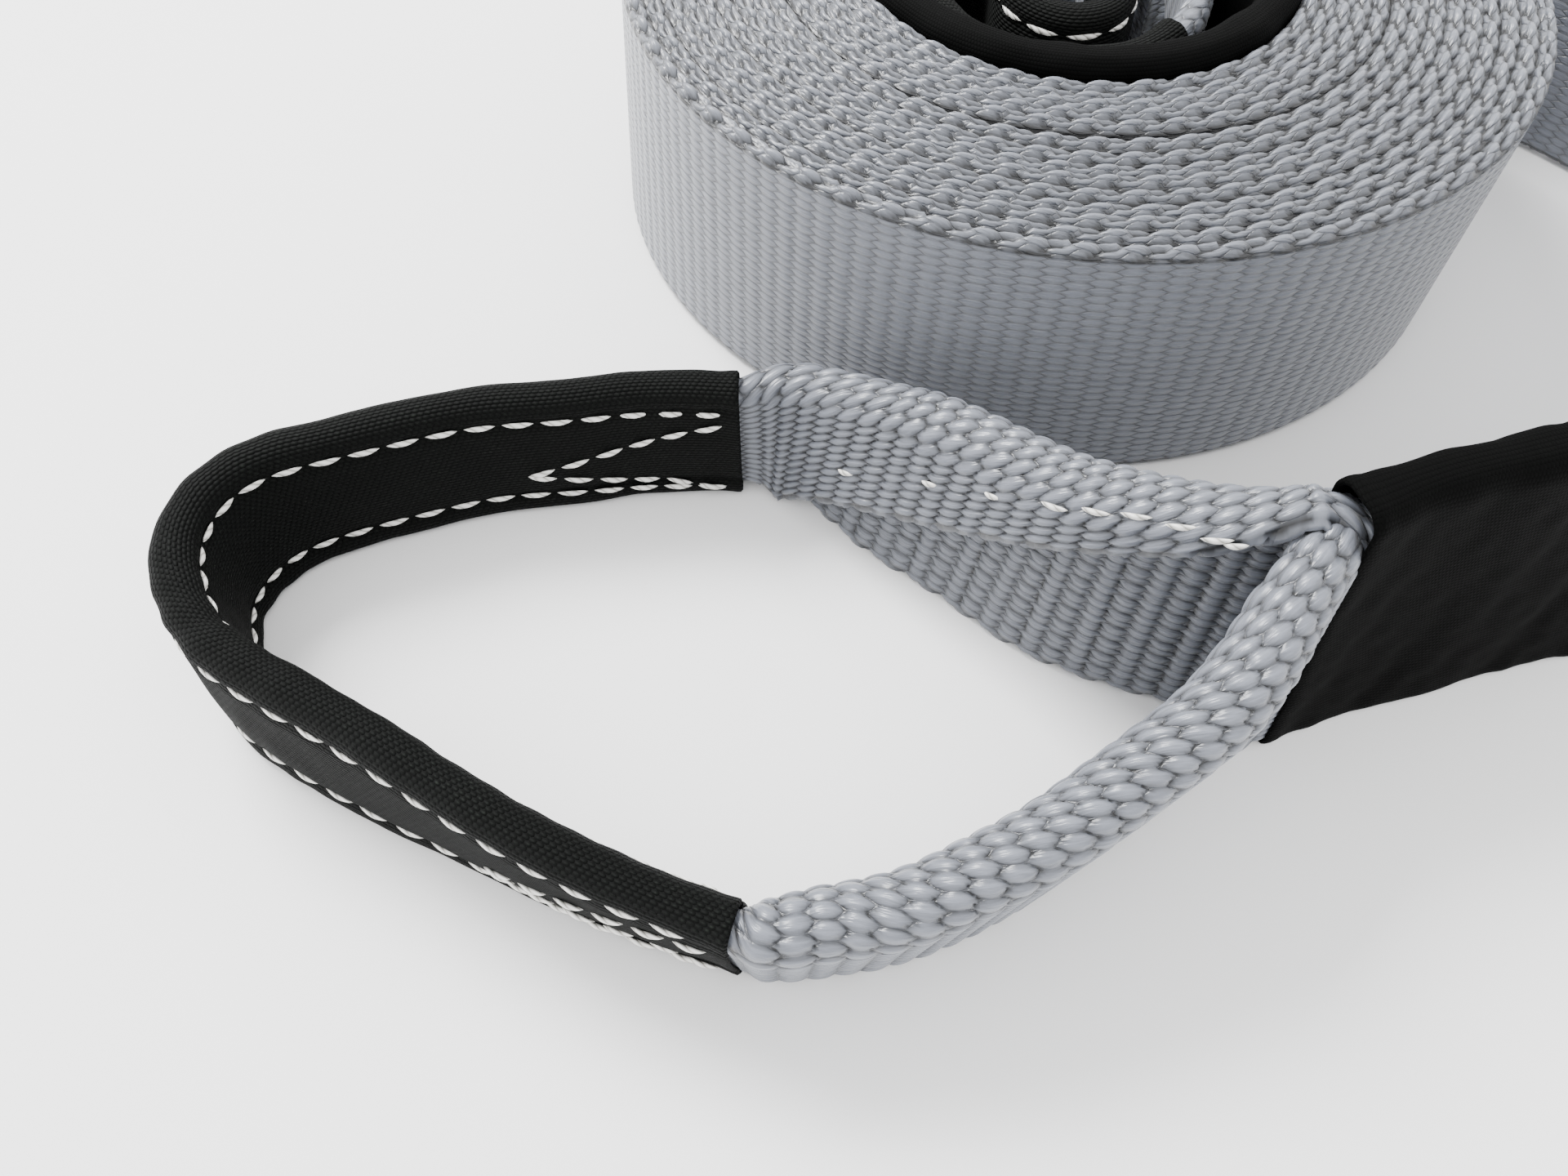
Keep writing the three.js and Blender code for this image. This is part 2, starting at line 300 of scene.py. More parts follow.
def noise(tree, vector, scale, detail=3, stretch=(1, 1, 1)):
    """Noise on coordinates stretched by a Mapping node."""
    mapping = tree.nodes.new("ShaderNodeMapping")
    mapping.inputs["Scale"].default_value = stretch
    tree.links.new(vector, mapping.inputs[0])
    node = tree.nodes.new("ShaderNodeTexNoise")
    node.inputs["Scale"].default_value = scale
    node.inputs["Detail"].default_value = detail
    tree.links.new(mapping.outputs[0], node.inputs["Vector"])
    return node.outputs["Fac"]


def bump(tree, shader, height, depth):
    """Shades a height from 0 to 1 as if it were real, where depth in metres is the height of 1."""
    node = tree.nodes.new("ShaderNodeBump")
    node.inputs["Strength"].default_value = 1
    node.inputs["Distance"].default_value = depth
    tree.links.new(height, node.inputs["Height"])
    tree.links.new(node.outputs[0], shader.inputs["Normal"])


print("node tools ready")

# %% [markdown]
# ## Webbing material
# Polyester yarn is a bundle of fine glossy filaments. The material draws each yarn of the face
# as a lens again, in finer detail than the mesh, paints shade on its flanks and in the gaps
# between the yarns, and adds fine streaks along the filaments, which are partly the fibres' own
# tone and partly painted glints. The pattern follows the strap because it reads the piece's
# own UV map, which holds the distance along and across the strap.

# %% Webbing finish
def webbing_finish(name, painted_shade, light):
    """Grey polyester webbing: pointed yarns with painted shade on their flanks and in the gaps,
    and filament streaks that are partly the fibres' own tone and partly painted glints.
    """
    material = bpy.data.materials.new(name)
    tree, shader, math = calculator(material)
    uv = tree.nodes.new("ShaderNodeUVMap")
    uv.uv_map = "weave"
    split = tree.nodes.new("ShaderNodeSeparateXYZ")
    tree.links.new(uv.outputs[0], split.inputs[0])

    def from_middle(value, size, shift):
        """Distance from the nearest middle, as a share of the repeat."""
        place = math("ADD", math("DIVIDE", value, size / 1000), 0.5 - shift)
        return math("ABSOLUTE", math("SUBTRACT", math("FRACT", place), 0.5))

    def family(shift):
        """The same pointed lenses as in the mesh."""
        x = from_middle(split.outputs[0], KNUCKLE, shift)
        x = math("MINIMUM", math("MULTIPLY", x, KNUCKLE / (LENS_LENGTH / 2)), 1.0)
        taper = math("MULTIPLY", math("POWER", x, LENS_POWER), LENS_TAPER)
        narrow = math("SUBTRACT", LENS_HALF, taper)
        y = math("DIVIDE", from_middle(split.outputs[1], YARN, shift), narrow)
        across = math("MAXIMUM", math("SUBTRACT", 1.0, math("MULTIPLY", y, y)), 0.0)
        along = math("SUBTRACT", 1.0, math("MULTIPLY", math("MULTIPLY", x, x), LENS_FALL))
        return math("SQRT", math("MULTIPLY", across, along))

    body = math("MAXIMUM", family(0), family(0.5))
    thread = noise(tree, uv.outputs[0], 1000, 2, (0.35, 3.0, 1))
    patch = noise(tree, uv.outputs[0], 300, 3, (0.6, 1.2, 1))
    # painted shade: the gap value darkens the colour in the gaps between the yarns and beside the knuckles
    attribute = tree.nodes.new("ShaderNodeAttribute")
    attribute.attribute_name = "painted_gap_shade"
    unshaded = math("SUBTRACT", 1.0, attribute.outputs["Fac"])
    # painted shade and highlight: each lens darkens towards its flanks and in the gaps, so its crest reads
    # as lit; the streaks added next are partly the fibres' own tone and partly painted glints
    tone = math("MULTIPLY", math("ADD", math("MULTIPLY", body, 0.55), 0.45), unshaded)
    tone = math("ADD", tone, math("MULTIPLY", math("SUBTRACT", thread, 0.5), 0.75))
    tone = math("ADD", tone, math("MULTIPLY", math("SUBTRACT", patch, 0.5), 0.18))
    colour = ramp(tree, tone, [(0.0, painted_shade), (0.45, tuple(0.42 * c for c in light)), (1.0, light)])
    tree.links.new(colour, shader.inputs["Base Color"])
    height = math("ADD", body, math("MULTIPLY", thread, 0.6))
    bump(tree, shader, height, 0.00035)
    shader.inputs["Roughness"].default_value = 0.3
    shader.inputs["Specular IOR Level"].default_value = 0.55
    shader.inputs["Sheen Weight"].default_value = 0.15
    return material


# the first colour is the painted shade of the gaps, the second the grey of the yarn crests where they
# catch the light
webbing = webbing_finish("grey_webbing", (0.0015, 0.0018, 0.003), (0.155, 0.167, 0.197))
print("webbing finish:", len(webbing.node_tree.nodes), "nodes")

# %% [markdown]
# ## Coil
# The coil is one spiral of fourteen turns. Only its two ends and its outer wall show, so the
# inner turns need fine points on their edges and very few between. The spiral steps inwards at
# the back of the coil, which keeps the front round, as it looks when a strap is wound by hand
# against the first turns. One turn sits loose, and leaves the dark line seen in the photograph.

# %% Spiral
TURNS = 14
TURN_PITCH = 3.14
BORE_RADIUS = 43.3
OUTER_RADIUS = BORE_RADIUS + TURNS * TURN_PITCH
SQUEEZE = 0.984                    # the coil is a little narrower than it is deep
COIL = np.array([55.0, 223.5]) - MIDDLE
LEAVES = 45.0                      # degrees, where the outer turn leaves the coil


def spiral(start, stop, step):
    """Centre line of the turns from start to stop, counted inwards from the outer end. The
    radius loses one pitch a turn, nearly all of it over the hundred degrees at the back."""
    t = np.linspace(start, stop, int(abs(stop - start) * 3600))
    part = t - np.floor(t)
    whole = np.floor(t) + ease(part / 0.32)
    angle = np.radians(LEAVES + 360 * t)
    radius = OUTER_RADIUS - TURN_PITCH * (whole - 0.5)
    loose = 1.3 * ease((t - 8.9) / 0.4) * (1 - ease((t - 10.2) / 2.5))
    sag = loose * (1 + 0.6 * np.sin(3 * angle))
    radius = radius - sag + 0.12 * np.sin(2 * angle + 1.7 * np.floor(t))
    line = np.stack([COIL[0] + SQUEEZE * radius * np.cos(angle), COIL[1] + radius * np.sin(angle), t], 1)
    run = distance(line)
    even = np.linspace(0, run[-1], int(run[-1] / step) + 1)
    return np.stack([np.interp(even, run, line[:, c]) for c in range(3)], 1)


HALF_STRAP = STRAP / 2
HALF_LAYER = 1.5                   # half of the webbing's thickness, without its relief
CORE = 23.5                        # half of the strap's width, without its knuckles


def strap_on_edge(name, line, start, faces=(0, 0), lean=None, lift=0):
    """A strap that stands on its edge along the line. Its section is a tall loop: over the top
    edge, down the inner face, under the bottom edge and up the outer face. Both edges carry
    knuckles, and faces gives the points on the outer and inner face, which carry ribs if they
    have any. The lean shears the strap outwards, and the lift raises it off the floor."""
    out = -sideways(line)
    s = distance(line) + start
    half = HALF_LAYER
    over, under = np.radians(np.linspace(0, 180, 11)), np.radians(np.linspace(180, 360, 7))
    inner = np.linspace(23, -23, faces[1])
    outer = np.linspace(-23, 23, faces[0])
    kind = np.repeat([0, 1, 2, 3], [len(over), len(inner), len(under), len(outer)])
    bend = np.concatenate([over, 0 * inner + np.pi, under, 0 * outer])
    reach = np.concatenate([over * 0 + 1, inner / 23.4, under * 0 - 1, outer / 23.4])
    u, w = half * np.cos(bend), CORE * reach
    round_off = np.concatenate([np.sin(over), 0 * inner, -np.sin(under), 0 * outer]).clip(0)
    across = np.concatenate([HALF_STRAP + half * (np.pi / 2 - over), inner,
                             -HALF_STRAP - half * (under - 1.5 * np.pi), outer])
    edge = (kind % 2 == 0)[None, :]
    lump = knuckles(s[:, None], u[None, :])
    rise = np.where(edge, 0.45 + lump, 0) * round_off[None, :] ** 0.5
    rise = rise * np.where(w < 0, 0.75, 1)
    side = np.where(edge, np.abs(np.cos(bend))[None, :] ** 3, 1) * ribs(s)[:, None]
    sway = 0.2 * np.sin(2 * np.pi * line[:, 2] + 2.1 * np.floor(line[:, 2]))
    height = HALF_STRAP + w[None, :] + np.sign(w)[None, :] * rise
    height = height + np.where(w > 0, 1, 0)[None, :] * (sway[:, None] - 0.2)
    height = height + np.reshape(lift, (-1, 1))
    offset = u[None, :] + np.sign(u)[None, :] * side * (abs(u) > 0.9)[None, :]
    if lean is not None:
        offset = offset + lean[:, None] * height
    grid = np.empty((len(line), len(u), 3))
    grid[..., :2] = line[:, None, :2] + out[:, None, :] * offset[..., None]
    grid[..., 2] = height
    uv = np.stack(np.broadcast_arrays(s[:, None], np.append(across, across[0])[None, :]), -1)
    # painted shade: the edges darken between and beside the knuckles, where shade falls
    painted_gap_shade = np.where(edge, np.clip(1 - lump / 1.1, 0, 1) ** 1.3, 0.0)
    return skin(name, grid, uv, "strap_webbing", webbing, painted_gap_shade)


strap_on_edge("coil_turns_outer", spiral(1.0, 9.0, 0.95), 0)
strap_on_edge("coil_turns_inner", spiral(9.0, 13.9, 0.9), 5000)

# %% [markdown]
# ## Outer turn and run
# The outermost turn shows its whole face, so its section has many more points. At the back it
# leaves the coil and runs round to the free splice, outside the photograph's right edge.

# %% Outer turn and run
RUN = np.array([
    (3.05, 4.945, 0), (3.50, 4.48, 0), (3.77, 4.02, 0), (3.86, 3.52, 0), (3.79, 3.00, 0.02),
    (3.55, 2.57, 0.05), (3.17, 2.25, 0.08), (2.76, 2.075, 0.1), (2.45, 1.995, 0.11)])


def plan(rows):
    """Plan points in strap widths to millimetres round the strap's middle."""
    rows = np.array(rows, float)
    rows[:, :2] = rows[:, :2] * STRAP - MIDDLE
    return rows


outer_turn = spiral(0.0, 1.02, 18)[::-1]
outer_turn[:, 2] = 0
outer_line = spline(np.concatenate([outer_turn, plan(RUN)]), 0.8)
away = outer_line[:, :2] - COIL
bearing = np.degrees(np.arctan2(away[:, 1], away[:, 0])) % 360
foot = 3.0 * np.exp(-((bearing - 190) / 38) ** 2)   # the wall's foot stands out on the left
outer_line[:, :2] += away / np.linalg.norm(away, axis=1)[:, None] * foot[:, None]
outer_line[:, 2] += foot / STRAP
# inside the cover the strap is lifted off the cloth
inside_cover = ease((3.0 * STRAP - MIDDLE[0] - outer_line[:, 0]) / 16) * (outer_line[:, 1] < -40)
strap_on_edge("outer_turn", outer_line[:, :3] * [1, 1, 0], 300, (34, 22), outer_line[:, 2],
              0.9 * inside_cover)

# %% [markdown]
# ## Free eye
# Each branch of the eye starts at the splice as a flat strap on its edge and is folded in half
# lengthwise by the time it reaches its wear sleeve. So the section is a standing layer, a round
# fold and a flap that hangs inside the loop. The yarns open up over the round of the fold and
# look plump there, so this part gets real lenses in the mesh.

# %% Free eye
FLAT = 24.0                        # half of the webbing's width, up to the round of its edges


def folded_strap(name, rows, start, counts=(150, 46), step=0.45):
    """Rows hold x, y of the standing layer, height of the fold, radius of the fold, outward lean
    and height of the underside. The position across the strap goes up the layer, round the fold
    and down the flap. Where the fold is tight, in the sleeve, the relief is pressed flat."""
    line = spline(rows, step)
    inward = sideways(line)
    s = distance(line) + start
    top, radius, lean = line[:, 2:3], line[:, 3:4], line[:, 4:5]
    base, half = 1.45 + 1.15 * np.clip((2.0 - radius) / 0.6, 0, 1) + line[:, 5:6], 1.35
    loose = np.clip((radius - 1.3) / 0.8, 0.08, 1)
    stand = top - radius - base
    fit = np.minimum(1, (stand - 1) / np.maximum(2 * FLAT - stand - np.pi * radius, 1))

    def middle(w):
        """Middle of the webbing's thickness: place across and up, and its outward direction."""
        a = w + FLAT
        turn = np.clip((a - stand) / radius, 0, np.pi)
        rest = np.clip(a - stand - np.pi * radius, 0, None) * fit
        u = radius * (1 - np.cos(turn))
        z = base + np.clip(a, None, stand) + radius * np.sin(turn) - rest
        return u, z, -np.cos(turn), np.sin(turn)

    out_w = np.linspace(-FLAT, FLAT, counts[0])[None, :]
    in_w = np.linspace(FLAT, -FLAT, counts[1])[None, :]
    cap = np.linspace(0, np.pi, 9)[None, 1:-1]
    sides = []
    for w, angle, sign in ((out_w, 0, 1), (FLAT, cap, 1), (in_w, np.pi, 1), (-FLAT, cap, -1)):
        u, z, nu, nz = middle(np.broadcast_to(w, (1, np.size(w) if np.size(w) > 1 else cap.size)))
        angle = np.broadcast_to(angle, (1, u.shape[1])) if sign > 0 else cap + np.pi
        tu, tz = nz, -nu
        if np.size(w) > 1:
            crest = yarns(s[:, None], w)
            outside = angle[0, 0] == 0
            swell = (1 if outside else 2.0) * ribs(s)[:, None] + (0.62 if outside else 0.4) * crest
            # painted shade in the gaps between the yarn lenses
            painted_shade = 1 - crest
        else:
            lump = knuckles(s[:, None], half * np.cos(angle))
            # painted shade between the knuckles of the edges
            swell, painted_shade = 0.8 * lump, np.clip(1 - lump / 1.1, 0, 1)
        reach = half + swell * loose
        du = reach * (nu * np.cos(angle) + tu * np.sin(angle))
        dz = reach * (nz * np.cos(angle) + tz * np.sin(angle))
        across = np.broadcast_to(w, (len(s), u.shape[1])) + 0 * reach
        sides.append((u + du, z + dz, across, painted_shade + 0 * reach))
    u, z, across, painted_shade = (np.concatenate([side[n] for side in sides], 1) for n in range(4))
    u = u - lean * z
    z = np.maximum(z, 0.02)
    grid = np.empty(u.shape + (3,))
    grid[..., :2] = line[:, None, :2] + inward[:, None, :] * u[..., None]
    grid[..., 2] = z
    across = np.concatenate([across, across[:, :1]], 1)
    uv = np.stack(np.broadcast_arrays(s[:, None], across), -1)
    return skin(name, grid, uv, "strap_webbing", webbing, painted_shade ** 1.5)


def in_strap_widths(rows):
    """Rows of x, y, height, radius and lean, where all but the lean are in strap widths."""
    rows = plan(rows)
    rows[:, 2:4] *= STRAP
    return np.append(rows, np.zeros((len(rows), 1)), 1)


# both branches were fitted to the eye's outlines in the photograph
FAR = in_strap_widths([
    (1.525, 1.752, 0.90, 0.036, 0.10), (1.455, 1.755, 0.92, 0.055, 0.13),
    (1.374, 1.754, 0.93, 0.065, 0.15), (1.248, 1.784, 0.90, 0.070, 0.15),
    (1.023, 1.860, 0.83, 0.070, 0.18), (0.774, 1.987, 0.75, 0.065, 0.24),
    (0.517, 2.203, 0.657, 0.060, 0.31), (0.300, 2.373, 0.602, 0.050, 0.33),
    (0.126, 2.566, 0.53, 0.045, 0.25), (-0.028, 2.684, 0.475, 0.038, 0.14),
    (-0.165, 2.689, 0.475, 0.025, 0), (-0.40, 2.675, 0.475, 0.024, 0)])
NEAR = in_strap_widths([
    (-0.40, 1.03, 0.475, 0.024, 0.12), (-0.122, 0.930, 0.475, 0.025, 0.17),
    (-0.035, 0.912, 0.490, 0.046, 0.19), (0.096, 0.921, 0.494, 0.055, 0.18),
    (0.274, 0.949, 0.531, 0.057, 0.18), (0.453, 1.007, 0.583, 0.058, 0.16),
    (0.647, 1.104, 0.631, 0.058, 0.16), (0.849, 1.234, 0.703, 0.058, 0.15),
    (1.075, 1.383, 0.796, 0.060, 0.13), (1.308, 1.553, 0.866, 0.062, 0.03),
    (1.430, 1.625, 0.897, 0.055, -0.05), (1.520, 1.665, 0.895, 0.036, -0.11)])
folded_strap("free_eye_far", FAR, 0)
folded_strap("free_eye_near", NEAR, 4)

# %% [markdown]
# ## Cloth and thread materials
# The wear sleeve is a black twill with a greenish cast, made of short cells set on a slant. The
# splice covers are a finer, duller knit. The stitches are off-white twisted cord.

# %% Cloth and thread finish
def cloth_finish(name, colour, lit, cell, slant, depth, shine):
    """Black cloth of raised cells, each cell[0] by cell[1] mm, whose rows shift by the slant.
    The cells turn from the colour to lit on their crests, and depth is their height in metres."""
    material = bpy.data.materials.new(name)
    tree, shader, math = calculator(material)
    uv = tree.nodes.new("ShaderNodeUVMap")
    uv.uv_map = "weave"
    split = tree.nodes.new("ShaderNodeSeparateXYZ")
    tree.links.new(uv.outputs[0], split.inputs[0])
    down = math("DIVIDE", split.outputs[1], cell[1] / 1000)
    row = math("FLOOR", down)
    along = math("ADD", math("DIVIDE", split.outputs[0], cell[0] / 1000), math("MULTIPLY", row, slant))
    x = math("SUBTRACT", math("FRACT", along), 0.5)
    y = math("SUBTRACT", math("FRACT", down), 0.5)
    far = math("ADD", math("MULTIPLY", math("MULTIPLY", x, x), 3.2),
               math("MULTIPLY", math("MULTIPLY", y, y), 3.2))
    body = math("SQRT", math("MAXIMUM", math("SUBTRACT", 1.0, far), 0.0))
    speck = noise(tree, uv.outputs[0], 900, 2)
    patch = noise(tree, uv.outputs[0], 90, 3)
    tone = math("ADD", math("MULTIPLY", body, 0.6), math("MULTIPLY", patch, 0.3))
    tone = math("ADD", tone, math("MULTIPLY", math("SUBTRACT", speck, 0.5), 0.5))
    # painted shade and highlight: each cell darkens towards its edges and turns to lit on its crest
    light = ramp(tree, tone, [(0.2, tuple(0.35 * c for c in colour)), (0.75, colour), (1.0, lit)])
    tree.links.new(light, shader.inputs["Base Color"])
    bump(tree, shader, math("ADD", body, math("MULTIPLY", speck, 0.4)), depth)
    shader.inputs["Roughness"].default_value = 0.75
    shader.inputs["Specular IOR Level"].default_value = shine
    return material


def cord_finish():
    """Off-white cord of two plies, which show as slanting stripes because the grooves between them are
    painted in shade.
    """
    material = bpy.data.materials.new("off_white_cord")
    tree, shader, math = calculator(material)
    uv = tree.nodes.new("ShaderNodeUVMap")
    uv.uv_map = "weave"
    split = tree.nodes.new("ShaderNodeSeparateXYZ")
    tree.links.new(uv.outputs[0], split.inputs[0])
    turns = math("ADD", math("DIVIDE", split.outputs[0], 0.0021), math("DIVIDE", split.outputs[1], 0.0021))
    ply = math("ABSOLUTE", math("SINE", math("MULTIPLY", turns, float(np.pi))))
    # painted shade in the grooves between the plies, painted highlight on their crowns
    colour = ramp(tree, ply, [(0.0, (0.34, 0.33, 0.30)), (0.45, (0.75, 0.74, 0.70)),
                              (1.0, (0.9, 0.89, 0.85))])
    tree.links.new(colour, shader.inputs["Base Color"])
    bump(tree, shader, ply, 0.00025)
    shader.inputs["Roughness"].default_value = 0.6
    return material


# the second colour of each cloth is the painted highlight on its cell crests, and the first fades to a
# third in the painted shade between the cells
twill = cloth_finish("black_twill", (0.0022, 0.0028, 0.0023), (0.013, 0.016, 0.013),
                     (1.1, 0.65), 0.62, 0.00055, 0.10)
knit = cloth_finish("black_knit", (0.0008, 0.0009, 0.0008), (0.0022, 0.0024, 0.0022),
                    (0.55, 0.7), 0.5, 0.00008, 0.04)
cord = cord_finish()
print("cloth and cord finishes made")

# %% [markdown]
# ## Cloth shells
# A sleeve or cover is a thin tube of cloth round the strap, open at both ends. Its outer wall
# runs forward, turns over the hem, and comes back as the inner wall 0.8 mm inside, so one closed
# ring of rows gives the whole shell. The soft folds are written as relief, because the cloth is
# held tight by its stitches and a simulation would have nothing to drape.

# %% Cloth shells
def waves(x, y, size, seed):
    """Smooth random relief from about -1 to 1: nine plane waves of random direction and phase."""
    pick = np.random.default_rng(seed)
    total = 0
    for angle, phase, scale in pick.uniform((0, 0, 0.6), (np.pi, 6.28, 1.5), (9, 3)):
        total = total + np.sin(6.28 * scale * (x * np.cos(angle) + y * np.sin(angle)) / size + phase)
    return total / 4.5


def tall_loop(half, low, high, crown, foot, counts):
    """Loop round a tall rounded section: up the outer side, over the crown, down the inner side
    and under the foot. Returns the place across and up, and the outward direction."""
    side, round_top, round_foot = counts
    up = np.linspace(0, 1, side)[None, :]
    bottom, top = low + foot, high - crown
    parts = [(-half + 0 * up, bottom + up * (top - bottom), -1 + 0 * up, 0 * up)]

    def corner(start, stop, count, across, height, radius):
        """Adds an arc round a centre, without its two ends, which the straight sides hold."""
        angle = np.radians(np.linspace(start, stop, count))[None, 1:-1]
        turned = np.cos(angle), np.sin(angle)
        parts.append((across + radius * turned[0], height + radius * turned[1], *turned))

    corner(180, 90, round_top, crown - half, top, crown)
    corner(90, 0, round_top, half - crown, top, crown)
    parts.append((half + 0 * up, top - up * (top - bottom), 1 + 0 * up, 0 * up))
    corner(0, -90, round_foot, half - foot, bottom, foot)
    corner(-90, -180, round_foot, foot - half, bottom, foot)
    rows = len(half)
    return [np.concatenate([np.broadcast_to(p[n], (rows, p[n].shape[1])) for p in parts], 1)
            for n in range(4)]


def shell(name, line, lean, section, relief, node, material, wall=0.8):
    """Closed thin shell of cloth along the line. relief is the outer wall's height in mm."""
    u, z, nu, nz = section
    inward = sideways(line)
    along = np.stack([inward[:, 1], -inward[:, 0]], 1)
    s = distance(line)

    def wall_at(depth, shift=0.0):
        """The whole grid moved outwards by the depth, and along the line by the shift."""
        across = u + nu * depth
        height = np.maximum(z + nz * depth, 0.03)
        across = across - lean[:, None] * height
        grid = np.empty(u.shape + (3,))
        grid[..., :2] = (line[:, None, :2] + along[:, None, :] * shift
                         + inward[:, None, :] * across[..., None])
        grid[..., 2] = height
        return grid

    outer, inner = wall_at(relief), wall_at(relief - wall)
    end, begin = wall_at(relief - wall / 2, 0.35)[-1:], wall_at(relief - wall / 2, -0.35)[:1]
    grid = np.concatenate([outer, end, inner[::-1], begin])
    q = np.concatenate([[0], np.cumsum(np.hypot(np.diff(u[0]), np.diff(z[0])))])
    q = np.append(q, q[-1] + 0.7)
    travel = np.concatenate([s, [s[-1] + 0.5], s[::-1], [-0.5], [0]])
    uv = np.stack(np.broadcast_arrays(travel[:, None], q[None, :]), -1)
    piece = skin(name, grid, uv, node, material, ring=True)
    return piece


# %% [markdown]
# ## Wear sleeve of the free eye
# The sleeve is sewn through along two lines, which pinch it in. Between them the cloth swells a
# little, it puckers at each stitch, and it wrinkles where the loop turns most sharply.

# %% Free sleeve
STITCH = 6.3                       # mm from stitch to stitch
SEAM_DROP = 4.4                    # upper seam below the top of the sleeve
SEAM_RISE = 4.5                    # lower seam above its foot
SLEEVE_HALF = 3.55                 # half of the sleeve's thickness
SLEEVE_LOW = 0.3
SLEEVE_TOP = 26.3


def sleeve_relief(s, u, z, low, high, seed):
    """Pinch at the two stitch lines, slack between them, puckers, wrinkles at the turn, hems."""
    length = s.max()
    upper, lower = high - SEAM_DROP, low + SEAM_RISE
    flat = np.clip(np.abs(u) / 2.5, 0, 1) ** 4
    seam = np.exp(-((z - upper) / 0.9) ** 2) + np.exp(-((z - lower) / 0.9) ** 2)
    slack = np.clip((z - lower) / (upper - lower), 0, 1)
    turn = np.exp(-((s - 0.5 * length) / 26) ** 2)
    relief = -0.55 * seam * flat + 0.32 * np.sin(np.pi * slack) * flat
    pucker = np.cos(2 * np.pi * s / STITCH) * np.exp(-((z - upper) / 2.4) ** 2)
    relief = relief + 0.10 * pucker * flat
    relief = relief + 0.22 * turn * waves(s, 0.4 * z, 7, seed) + 0.13 * waves(s, z, 16, seed + 1)
    hem = np.exp(-(s / 2.2) ** 2) + np.exp(-((s - length) / 2.2) ** 2)
    return relief + 0.3 * hem


# x, y in strap widths and lean, fitted to the sleeve's outlines in the photograph
SLEEVE = [
    (-0.156, 2.664, -0.04), (-0.497, 2.647, 0.01), (-0.740, 2.601, 0.04), (-0.994, 2.561, 0.07),
    (-1.240, 2.492, 0.08), (-1.481, 2.406, 0.09), (-1.726, 2.241, 0.14), (-1.798, 2.021, 0.08),
    (-1.759, 1.877, 0.05), (-1.671, 1.690, -0.05), (-1.456, 1.519, -0.11), (-1.222, 1.394, -0.10),
    (-0.972, 1.284, -0.02), (-0.720, 1.171, 0.05), (-0.469, 1.071, 0.10), (-0.103, 0.958, 0.17)]


def eye_sleeve(name, line, lean, low, high, node, seed, counts=(26, 8, 4)):
    """Wear sleeve whose section is 7.1 mm thick and rounded over the fold of the webbing."""
    half = np.full((len(line), 1), SLEEVE_HALF)
    section = tall_loop(half, low[:, None], high[:, None], 3.5, 1.6, counts)
    relief = sleeve_relief(distance(line)[:, None], section[0], section[1], low[:, None],
                           high[:, None], seed)
    return shell(name, line, lean, section, relief, node, twill)


free_line = spline(plan(SLEEVE), 0.8)
level_low = np.full(len(free_line), SLEEVE_LOW)
level_high = SLEEVE_TOP + 1.1 * np.exp(-(distance(free_line) / 28) ** 2)
eye_sleeve("free_sleeve", free_line, free_line[:, 2], level_low, level_high, "free_eye_sleeve", 3)

# %% [markdown]
# ## Stitches
# Each stitch is a short cord with pointed ends that arches over the cloth. All the stitches of
# one line are made at once from arrays of their ends.

# %% Stitches
def cords(name, path, normal, node, width=1.25, thick=0.75):
    """Closed cords along path[cord, station]. The section is a flat hexagon that shrinks to a
    point at both ends."""
    count, stations = path.shape[:2]
    along = np.gradient(path, axis=1)
    along /= np.linalg.norm(along, axis=2)[..., None]
    side = np.cross(along, normal)
    taper = np.sin(np.pi * np.linspace(0, 1, stations)).clip(0.02) ** 0.55
    angle = np.radians(np.arange(6) * 60)
    ring = (side[:, :, None, :] * (width / 2 * np.cos(angle))[None, None, :, None]
            + normal[:, :, None, :] * (thick / 2 * np.sin(angle))[None, None, :, None])
    points = path[:, :, None, :] + ring * taper[None, :, None, None]
    c, i, j = np.meshgrid(np.arange(count), np.arange(stations - 1), np.arange(6), indexing="ij")
    first, k = c * stations * 6 + i * 6, (j + 1) % 6
    quads = np.stack([first + j, first + 6 + j, first + 6 + k, first + k], -1).reshape(-1, 4)
    base = (np.arange(count) * stations * 6)[:, None]
    caps = [base + np.arange(6), base + (stations - 1) * 6 + np.arange(6)[::-1]]
    flat = points.reshape(-1, 3)
    a, b, d = flat[quads[0, 0]], flat[quads[0, 1]], flat[quads[0, 3]]
    if np.dot(np.cross(b - a, d - a), (a + b) / 2 - path[0, :2].mean(0)) < 0:
        quads, caps = quads[:, ::-1], [cap[:, ::-1] for cap in caps]
    faces = quads.tolist() + caps[0].tolist() + caps[1].tolist()
    mesh = bpy.data.meshes.new(name)
    mesh.from_pydata((flat / 1000).tolist(), [], faces)
    run = np.linalg.norm(np.diff(path, axis=1), axis=2).cumsum(1)
    run = np.concatenate([np.zeros((count, 1)), run], 1)
    place = np.stack(np.broadcast_arrays(run[:, :, None], (np.arange(6) * 0.55)[None, None, :]), -1)
    index = np.zeros(len(mesh.loops), np.int32)
    mesh.loops.foreach_get("vertex_index", index)
    mesh.uv_layers.new(name="weave").data.foreach_set("uv", (place.reshape(-1, 2)[index] / 1000).ravel())
    mesh.polygons.foreach_set("use_smooth", np.ones(len(mesh.polygons), bool))
    piece = bpy.data.objects.new(name, mesh)
    bpy.context.scene.collection.objects.link(piece)
    mesh.materials.append(cord)
    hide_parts(node)
    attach(piece, "root")
    print("%s: %d cords" % (name, count))
    return piece


